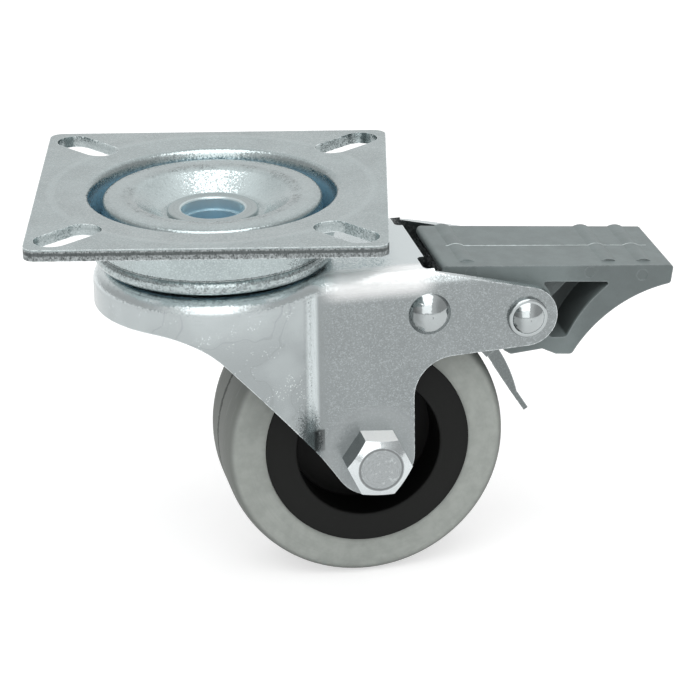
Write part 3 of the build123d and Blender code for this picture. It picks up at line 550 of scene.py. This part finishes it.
def fork_zinc(look):
    colour = look.fork_colour
    finish = zinc(
        "fork_zinc", colour, look, sparkle=lambda made: made.along(FORWARD).step(*SPARKLE) * 0.5 + 0.1,
        rough=-0.02, depth=0.012, glint=0.11, cloud=0.8)
    forward, across, z = finish.along(FORWARD), finish.along(ACROSS), finish.along(UP)
    over_axle = z - AXLE.z / MM
    flank = abs(across).step(*FLANK_SIDE)
    upward = finish.facing(UP)
    crown = upward.step(0.4, 0.8)
    bend = upward.step(0.02, 0.3)
    # painted light: faces turned up are lighter, the bend and the crown's top lightest, and all other faces
    # darker
    finish.tint((1 - bend) * 0.5, colour, 0.5)
    finish.tint(bend * 0.85, colour, 1.9)
    finish.tint(crown * 0.85, colour, 2.0)

    # painted highlight: the bend over the leg nearly white, and less metallic so that the white shows
    drawn_and_bend_highlight = forward.step(*BEND_HIGHLIGHT_FRONT) * forward.step(*BEND_HIGHLIGHT_REAR)
    drawn_and_bend_highlight = drawn_and_bend_highlight * z.step(*BEND_HIGHLIGHT_Z) * abs(across).step(*BEND_HIGHLIGHT_SIDE)
    finish.tint(drawn_and_bend_highlight * 0.9, (0.97, 0.98, 0.98))

    # the smooth skirt, with films and bright flecks, and painted light growing towards its top
    skirt = (1 - bend) * forward.step(*SKIRT)
    films = finish.noise(9.0, 2.0, 0.5, 0.3)
    finish.tint(skirt * 0.6, colour, 1.05)
    finish.tint(skirt * films.step(0.4, 0.7) * 0.3, colour, 1.5)
    finish.tint(skirt * z.step(*SKIRT_Z) * 0.35, colour, 1.7)
    finish.tint(skirt * films.band(0.46, 0.004, 0.008) * 0.15, colour, 0.5)
    flecks = finish.cells(0.17).step(0.92, 0.98) * finish.noise(4.0, 2.0, 0.5).step(0.5, 0.65)
    finish.tint(skirt * flecks * 0.6, look.rivet_colour, 2.0)

    # the scratched painted highlight beside the crease, and a painted dark reflection at its foot
    scratch = finish.noise(0.2, 3.0, 0.7, stretch=(1, 1, 0.05)).step(0.5, 0.72)
    crease = flank * (1 - bend) * forward.band(*CREASE) * over_axle.step(*CREASE_OVER_AXLE)
    finish.tint(crease * 0.85, colour, 1.8)
    finish.tint(crease * scratch * 0.35, colour, 0.6)
    dark_reflection = flank * forward.band(*DARK_REFLECTION) * over_axle.band(*DARK_REFLECTION_OVER_AXLE)
    finish.tint(dark_reflection * (0.85 - scratch * 0.4), colour, 0.2)

    # duller near the bolt, dragged on the legs, and cut along the edges of the sheet
    near_bolt = finish.distance(forward - AXLE.dot(FORWARD) / MM, over_axle).step(*NEAR_AXLE) * flank
    finish.tint(near_bolt * 0.5, colour, 1.05)
    drag = finish.noise(0.35, 3.0, 0.7, stretch=(0.08, 0.08, 1)).step(0.6, 0.8)
    finish.tint(flank * drag * 0.25, colour, 0.55)
    sheet_edge = abs(finish.facing(ACROSS)).step(0.5, 0.3) * upward.step(0.3, -0.1) * flank
    cut_edge(finish, look, LEG_OUTER_SIDE - abs(across), sheet_edge * 0.2)
    finish.tint(sheet_edge * 0.5, colour, 1.9)

    # stains round the bearing, and painted shade on the underside
    stain = finish.noise(1.1, 3.0, 0.65).step(0.56, 0.62)
    shoulder = finish.distance(forward, across).band(*CROWN_SHOULDER) * crown * stain
    finish.tint(shoulder * 0.3, colour, 0.4)
    finish.tint(upward.step(-0.3, -0.7) * 0.3, colour, 0.6)
    return polish(finish, look, metallic=1 - drawn_and_bend_highlight * 0.75 - near_bolt * 0.65)


def bolt_zinc(look):
    colour = look.bolt_colour
    finish = zinc("bolt_zinc", colour, look, sparkle=0.12, rough=-0.06, depth=0.005, glint=0.05, cloud=0.8)
    out, turn = finish.round_pin(AXLE)
    across = finish.along(ACROSS)
    rings = finish.noise(0.16, 2.0, 0.7, where=finish.combine(out, turn * 0.4, 0))
    dents = finish.noise(0.7, 3.0, 0.6)
    face = abs(finish.facing(ACROSS)).step(0.9, 0.98)
    # painted shade: the faces square to the axle darker, with turned rings, dents and a dark circle
    finish.tint(face * 0.85, colour, 0.5)
    finish.tint(face * rings.step(0.4, 0.7) * 0.5, colour, 0.38)
    finish.tint(face * dents.step(0.56, 0.68) * 0.4, colour)
    finish.tint(face * out.band(*BOLT_CIRCLE) * 0.8, colour, 0.25)
    flats = (1 - abs(finish.facing(ACROSS)).step(0.1, 0.3)) * out.step(*BOLT_FLATS)
    # painted highlight on the top flat of the head, made less metallic so that it shows, and painted shade
    # on the lower front flat
    lit = flats * finish.facing(UP).step(0.8, 0.95)
    shaded = flats * finish.facing(UP * 0.5 - FORWARD * 0.87).step(0.8, 0.95)
    finish.tint(lit * 0.9, (0.95, 0.96, 0.95))
    finish.tint(shaded * 0.8, look.pit_and_shade_colour)
    # painted shade in the grooves of the thread
    turns = (across * (2 * math.pi / THREAD_PITCH)).math("SINE")
    thread = turns * (1 - out.step(*THREAD)) * across.step(*THREAD_SIDE)
    finish.tint(thread.step(0.0, 0.9) * 0.5, look.pit_and_shade_colour)
    height = finish.noise(0.5, 2.0, 0.6) * 0.3 + thread * 0.7
    finish.normal = finish.bump(height, 1.0, 0.03, finish.normal)
    return polish(finish, look, amount=0.5, metallic=1 - lit * 0.95)


def rivet_zinc(look):
    finish = zinc(
        "rivet_zinc", look.rivet_colour, look, sparkle=0.05, rough=-0.14, depth=0.002, glint=0.02, cloud=0.5)
    dimples = finish.noise(1.2, 2.0, 0.5)
    # painted shade on the side of each head that faces back, broken by the dimples
    shaded_rear = finish.facing(FORWARD * -0.95 - ACROSS * 0.1) + dimples * 0.3 - 0.15
    finish.tint(shaded_rear.step(0.3, 0.7) * 0.7, look.pit_and_shade_colour)
    finish.normal = finish.bump(dimples, 0.6, 0.05, finish.normal)
    return polish(finish, look, amount=0.3)


def blade_zinc(look):
    finish = zinc("blade_zinc", look.blade_colour, look, sparkle=0.4, rough=0.05, glint=0.16)
    # painted shade: the faces across the fork nearly as dark as the pits, with lighter streaks
    side = abs(finish.facing(ACROSS)).step(0.6, 0.9)
    streaks = finish.noise(0.25, 2.0, 0.6).step(0.4, 0.7)
    finish.tint(side * (0.95 - streaks * 0.2), look.pit_and_shade_colour)
    return polish(finish, look, amount=0.35)


def cup_zinc(look):
    colour = scaled(look.plate_colour, 0.8)
    return polish(zinc("cup_zinc", colour, look, sparkle=0.2, depth=0.006, glint=0.06), look)


def ball_steel(look):
    finish = Finish("ball_steel", scaled(look.ball_colour))
    grease = finish.noise(1.6, 3.0, 0.6).step(0.45, 0.65)
    finish.tint(grease * 0.5, look.ball_colour, 0.6)
    return finish.set(Base_Color=finish.base, Metallic=1.0, Roughness=grease * 0.15 + look.ball_roughness)


def tread_rubber(look):
    colour = look.tread_colour
    finish = Finish("tread_rubber", scaled(colour, 0.9))
    out, turn = finish.round_pin(AXLE)
    across = finish.along(ACROSS)
    tread = out.step(*TREAD)
    unrolled = finish.combine(turn * TREAD_R, across, out)
    scuffs = finish.noise(look.scuff / MM * 0.1, 4.0, 0.65, stretch=(0.1, 1, 1), where=unrolled)
    mottle = finish.noise(2.2, 4.0, 0.6)
    dust = finish.noise(0.25, 2.0, 0.7)
    finish.tint(mottle.step(0.3, 0.7), colour, 1.07)
    # painted shade: the tread much darker than the sidewalls
    finish.tint(tread * 0.9, colour, 0.52)
    finish.tint(tread * scuffs.step(0.55, 0.8) * 0.3, colour, 1.35)
    finish.tint(tread * (1 - scuffs).step(0.58, 0.8) * 0.35, colour, 0.6)
    finish.tint(dust.step(0.66, 0.8) * 0.4, colour, 1.4)
    wander = finish.noise(1.4, 3.0, 0.7) - 0.5
    finish.tint((across + wander * 1.8).band(*PARTING_SIDE) * tread * 0.85, look.parting_colour)
    moulded = finish.noise(0.3, 2.0, 0.6, where=finish.combine(out, turn * 0.3, 0))
    side = abs(finish.facing(ACROSS)).step(0.7, 0.9)
    finish.tint(side * moulded.step(0.5, 0.75) * 0.2, colour, 0.75)
    finish.tint(finish.edges(0.5) * 0.25, colour, 1.3)
    height = scuffs * tread + dust * 0.5 + moulded * side * 0.4
    return finish.set(
        Base_Color=finish.base, Roughness=(mottle * 0.15 + 0.56).clamp(),
        Normal=finish.bump(height, 0.8, 0.04), Specular_IOR_Level=0.35)


def hub_plastic(look):
    # painted shade: the hub far darker than its colour everywhere but on its outer rim
    finish = Finish("hub_plastic", scaled(look.hub_colour, 0.4))
    out, turn = finish.round_pin(AXLE)
    rings = finish.noise(0.35, 2.0, 0.6, where=finish.combine(out, turn * 0.5, 0))
    dust = finish.noise(0.5, 4.0, 0.7)
    rim = abs(finish.along(ACROSS)).step(*HUB_RIM_SIDE) * out.step(*HUB_RIM)
    finish.tint(rim * 0.8, look.hub_colour, 1.3)
    finish.tint(dust.step(0.62, 0.85) * 0.3 * rim, (0.07, 0.07, 0.07))
    return finish.set(
        Base_Color=finish.base, Roughness=(rings * 0.15 + 0.42).clamp(),
        Normal=finish.bump(rings + dust * 0.4, 0.5, 0.02), Specular_IOR_Level=0.16)


def pedal_plastic(look, name, colour):
    finish = Finish(name, scaled(colour, 0.9))
    forward = finish.along(FORWARD)
    mottle = finish.noise(3.0, 4.0, 0.6)
    skin = finish.noise(look.grain / MM, 3.0, 0.6)
    scratches = finish.noise(0.18, 3.0, 0.7, stretch=(0.08, 1, 1)).step(0.64, 0.76)
    upward = finish.facing(UP)
    scratches = scratches * upward.step(0.5, 0.9)
    finish.tint(mottle.step(0.3, 0.7), colour, 1.08)
    finish.tint(skin.step(0.55, 0.8) * 0.3, colour, 1.4)
    finish.tint((1 - skin).step(0.6, 0.8) * 0.3, colour, 0.7)
    finish.tint(scratches * 0.35, look.worn_colour)
    # painted shade in the pocket under the top
    pocket = abs(finish.along(ACROSS)).step(*POCKET_SIDE) * (1 - abs(upward).step(0.6, 0.9))
    finish.tint(pocket * forward.step(*POCKET) * 0.75, colour, 0.2)
    # painted shade on the faces turned forward
    finish.tint(finish.facing(FORWARD).step(0.5, 0.9) * 0.5, colour, 0.55)
    side = abs(finish.facing(ACROSS)).step(0.4, 0.8)
    # painted light on the sides towards the front and painted shade on them towards the rear
    finish.tint(side * forward.step(*PEDAL_FRONT) * 0.5, colour, 1.2)
    finish.tint(side * forward.step(*PEDAL_REAR) * 0.5, colour, 0.6)
    worn = finish.edges(0.45) * finish.noise(0.9, 3.0, 0.7).step(0.25, 0.65)
    finish.tint(worn * 0.6, look.worn_colour)
    return finish.set(
        Base_Color=finish.base, Roughness=(mottle * 0.12 + 0.4 - worn * 0.06).clamp(),
        Normal=finish.bump(skin + scratches * -0.3, 0.7, 0.03), Specular_IOR_Level=0.4)


def wear(node, material):
    """Give a CAD node its finish."""
    piece = NODES[node]
    piece.data.materials.clear()
    piece.data.materials.append(material)


class CASTOR_OT_plate(bpy.types.Operator):
    """Give the plate and the hollow rivet in it their finish"""
    bl_idname = "castor.plate"
    bl_label = "Plate"

    def execute(self, context):
        look = context.scene.castor_plating
        wear("top_plate", plate_zinc(look))
        wear("kingpin_rivet", kingpin_zinc(look))
        return {"FINISHED"}


class CASTOR_OT_bearing(bpy.types.Operator):
    """Give the bearing balls and the lower cup their finish"""
    bl_idname = "castor.bearing"
    bl_label = "Bearing"

    def execute(self, context):
        wear("lower_ball_cup", cup_zinc(context.scene.castor_plating))
        steel = ball_steel(context.scene.castor_bearing)
        for node in BALL_NODES:
            wear(node, steel)
        return {"FINISHED"}


class CASTOR_OT_fork(bpy.types.Operator):
    """Give the fork, its rivets and the axle their finish"""
    bl_idname = "castor.fork"
    bl_label = "Fork and axle"

    def execute(self, context):
        look = context.scene.castor_plating
        wear("fork", fork_zinc(look))
        bolt = bolt_zinc(look)
        for node in ("axle_bolt", "axle_nut", "axle_sleeve"):
            wear(node, bolt)
        rivet = rivet_zinc(look)
        for node in ("front_rivet", "rear_rivet"):
            wear(node, rivet)
        return {"FINISHED"}


class CASTOR_OT_wheel(bpy.types.Operator):
    """Give the tyre and the hub their finishes"""
    bl_idname = "castor.wheel"
    bl_label = "Wheel"

    def execute(self, context):
        look = context.scene.castor_wheel
        wear("tyre", tread_rubber(look))
        wear("wheel_hub", hub_plastic(look))
        return {"FINISHED"}


class CASTOR_OT_brake(bpy.types.Operator):
    """Give the pedal and the blade their finishes, and lay the line of flash along the pedal"""
    bl_idname = "castor.brake"
    bl_label = "Brake"

    def execute(self, context):
        look = context.scene.castor_pedal
        wear("brake_pedal", pedal_plastic(look, "pedal_plastic", look.pedal_colour))
        wear("brake_blade", blade_zinc(context.scene.castor_plating))
        self.flash(context.scene, look)
        return {"FINISHED"}

    def flash(self, scene, look):
        """A low, slightly uneven ridge along the middle of the pedal's top, laid on the mesh below it."""
        shape = bmesh.new()
        rows = []
        for place, normal, swell in self.spine():
            half = ACROSS * (look.flash_width / 2 * swell)
            rise = normal * look.flash_height
            rows.append([
                shape.verts.new(place - half - rise),
                shape.verts.new(place - half * 0.6 + rise * 0.7 * swell),
                shape.verts.new(place + rise * swell),
                shape.verts.new(place + half * 0.6 + rise * 0.7 * swell),
                shape.verts.new(place + half - rise)])
        for near, far in zip(rows, rows[1:]):
            for first in range(4):
                shape.faces.new((near[first], near[first + 1], far[first + 1], far[first]))
            shape.faces.new((near[4], near[0], far[0], far[4]))
        shape.faces.new(rows[0])
        shape.faces.new(list(reversed(rows[-1])))
        bmesh.ops.recalc_face_normals(shape, faces=shape.faces)
        mesh = bpy.data.meshes.new("pedal_flash")
        shape.to_mesh(mesh)
        shape.free()
        mesh.materials.append(pedal_plastic(look, "flash_plastic", scaled(look.worn_colour, 1.7)))
        ridge = bpy.data.objects.new("pedal_flash", mesh)
        scene.collection.objects.link(ridge)
        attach(ridge, "pedal")

    def spine(self):
        """Places along the middle of the pedal's top, each with its normal and the flash's swell there."""
        pedal = NODES["brake_pedal"]
        ends = [point.co.dot(FORWARD) for point in pedal.data.vertices]
        start, stop = min(ends) + FLASH_START_INSET, max(ends) - FLASH_STOP_INSET
        spine = []
        for step in range(FLASH_STEPS + 1):
            flat = FORWARD * (start + (stop - start) * step / FLASH_STEPS)
            hit, place, normal, _ = pedal.ray_cast(Vector((flat.x, flat.y, FLASH_CAST_Z)), -UP)
            if not hit:
                raise RuntimeError("the line of flash leaves the pedal")
            swell = 0.75 + 0.25 * math.sin(step * 1.7) * math.sin(step * 0.45)
            spine.append((place, normal.normalized(), swell))
        return spine


class CASTOR_OT_stage(bpy.types.Operator):
    """Build the floor, the lights, the surroundings and the camera"""
    bl_idname = "castor.stage"
    bl_label = "Stage"

    def execute(self, context):
        scene = context.scene
        look = scene.castor_stage
        scene.view_settings.view_transform = "Standard"
        self.floor(scene)
        self.world(scene, look)
        self.lights(scene, look)
        self.camera(scene, look)
        return {"FINISHED"}

    def floor(self, scene):
        """A pale floor that keeps the object's shadow and glows up to white."""
        mesh = bpy.data.meshes.new("floor")
        corners = [
            (x * FLOOR_REACH, y * FLOOR_REACH, BASE_Z) for x, y in ((-1, -1), (1, -1), (1, 1), (-1, 1))]
        mesh.from_pydata(corners, [], [(0, 1, 2, 3)])
        floor = bpy.data.objects.new("floor", mesh)
        scene.collection.objects.link(floor)
        finish = Finish("floor")
        path = finish.node("ShaderNodeLightPath")
        seen = path.out("Is Camera Ray").math("MAXIMUM", path.out("Is Glossy Ray"))
        seen = seen.math("MAXIMUM", path.out("Is Transmission Ray"))
        finish.set(
            Base_Color=FLOOR_GREY, Roughness=0.9, Specular_IOR_Level=0.0,
            Emission_Color=finish.mix(seen, (0, 0, 0), WHITE), Emission_Strength=FLOOR_GLOW)
        mesh.materials.append(finish.material)

    def world(self, scene, look):
        """White to the camera, and pale in gloss: greyer at the object's sides, where a studio is dark."""
        world = bpy.data.worlds.new("studio")
        world.use_nodes = True
        scene.world = world
        shading = Shading(world.node_tree)
        path = shading.node("ShaderNodeLightPath")
        way = shading.vector("NORMALIZE", shading.node("ShaderNodeTexCoord").out("Generated"))
        grey = GLOSS_LEVEL - abs(shading.dot(way, (1, 0, 0))).step(0.5, 0.9) * GLOSS_SIDE_DROP

        def background(colour, strength):
            return shading.node("ShaderNodeBackground", {}, {"Color": colour, "Strength": strength})

        gloss = background(shading.combine(grey, grey, grey), 1.0)
        white = background((*WHITE, 1), 1.0)
        soft = background((*WHITE, 1), look.surround)
        shown = path.out("Is Camera Ray").math("MAXIMUM", path.out("Is Transmission Ray"))
        lit = shading.node("ShaderNodeMixShader", {}, {0: path.out("Is Glossy Ray"), 1: soft, 2: gloss})
        full = shading.node("ShaderNodeMixShader", {}, {0: shown, 1: lit, 2: white})
        shading.tree.links.new(full.socket, shading.tree.nodes["World Output"].inputs["Surface"])

    def lights(self, scene, look):
        for name, place, size, share in LAMPS:
            lamp = bpy.data.lights.new(name, "AREA")
            lamp.size = size
            lamp.energy = look.lamp_power * share
            light = bpy.data.objects.new(name, lamp)
            scene.collection.objects.link(light)
            light.location = place
            light.rotation_euler = (Vector(place) - LAMPS_AIM).to_track_quat("Z", "Y").to_euler()

    def camera(self, scene, look):
        lens = bpy.data.cameras.new("camera")
        lens.lens = look.lens
        lens.sensor_width = SENSOR_WIDTH
        lens.clip_start = 0.01
        camera = bpy.data.objects.new("camera", lens)
        scene.collection.objects.link(camera)
        place = Matrix.Translation(CAMERA_PLACE * MM)
        for angle, axis in CAMERA_TURNS:
            place = place @ Matrix.Rotation(math.radians(angle), 4, axis)
        camera.matrix_world = place
        scene.camera = camera


class CASTOR_PT_panel(bpy.types.Panel):
    """Sizes, colours and steps of the castor's finish"""
    bl_idname = "CASTOR_PT_panel"
    bl_label = "Castor"
    bl_space_type = "VIEW_3D"
    bl_region_type = "UI"
    bl_category = "Castor"

    def draw(self, context):
        layout = self.layout
        for label, attribute, operators in SECTIONS:
            box = layout.box()
            box.label(text=label)
            settings = getattr(context.scene, attribute)
            for key in settings.__annotations__:
                box.prop(settings, key)
            for operator in operators:
                box.operator(operator)


SECTIONS = (
    ("Plating", "castor_plating", ("castor.plate", "castor.fork")),
    ("Bearing", "castor_bearing", ("castor.bearing",)),
    ("Wheel", "castor_wheel", ("castor.wheel",)),
    ("Brake", "castor_pedal", ("castor.brake",)),
    ("Stage", "castor_stage", ("castor.stage",)),
)
SETTINGS = {
    "castor_plating": CastorPlating,
    "castor_bearing": CastorBearing,
    "castor_wheel": CastorWheelLook,
    "castor_pedal": CastorPedalLook,
    "castor_stage": CastorStageLook,
}
OPERATORS = (
    CASTOR_OT_plate, CASTOR_OT_bearing, CASTOR_OT_fork, CASTOR_OT_wheel, CASTOR_OT_brake, CASTOR_OT_stage)
CLASSES = (*SETTINGS.values(), *OPERATORS, CASTOR_PT_panel)


def register():
    for kind in CLASSES:
        bpy.utils.register_class(kind)
    for attribute, kind in SETTINGS.items():
        setattr(bpy.types.Scene, attribute, bpy.props.PointerProperty(type=kind))


def unregister():
    for attribute in SETTINGS:
        delattr(bpy.types.Scene, attribute)
    for kind in reversed(CLASSES):
        bpy.utils.unregister_class(kind)


def main():
    register()
    bpy.ops.castor.plate()
    bpy.ops.castor.bearing()
    bpy.ops.castor.fork()
    bpy.ops.castor.wheel()
    bpy.ops.castor.brake()
    bpy.ops.castor.stage()


if __name__ == "__main__":
    main()
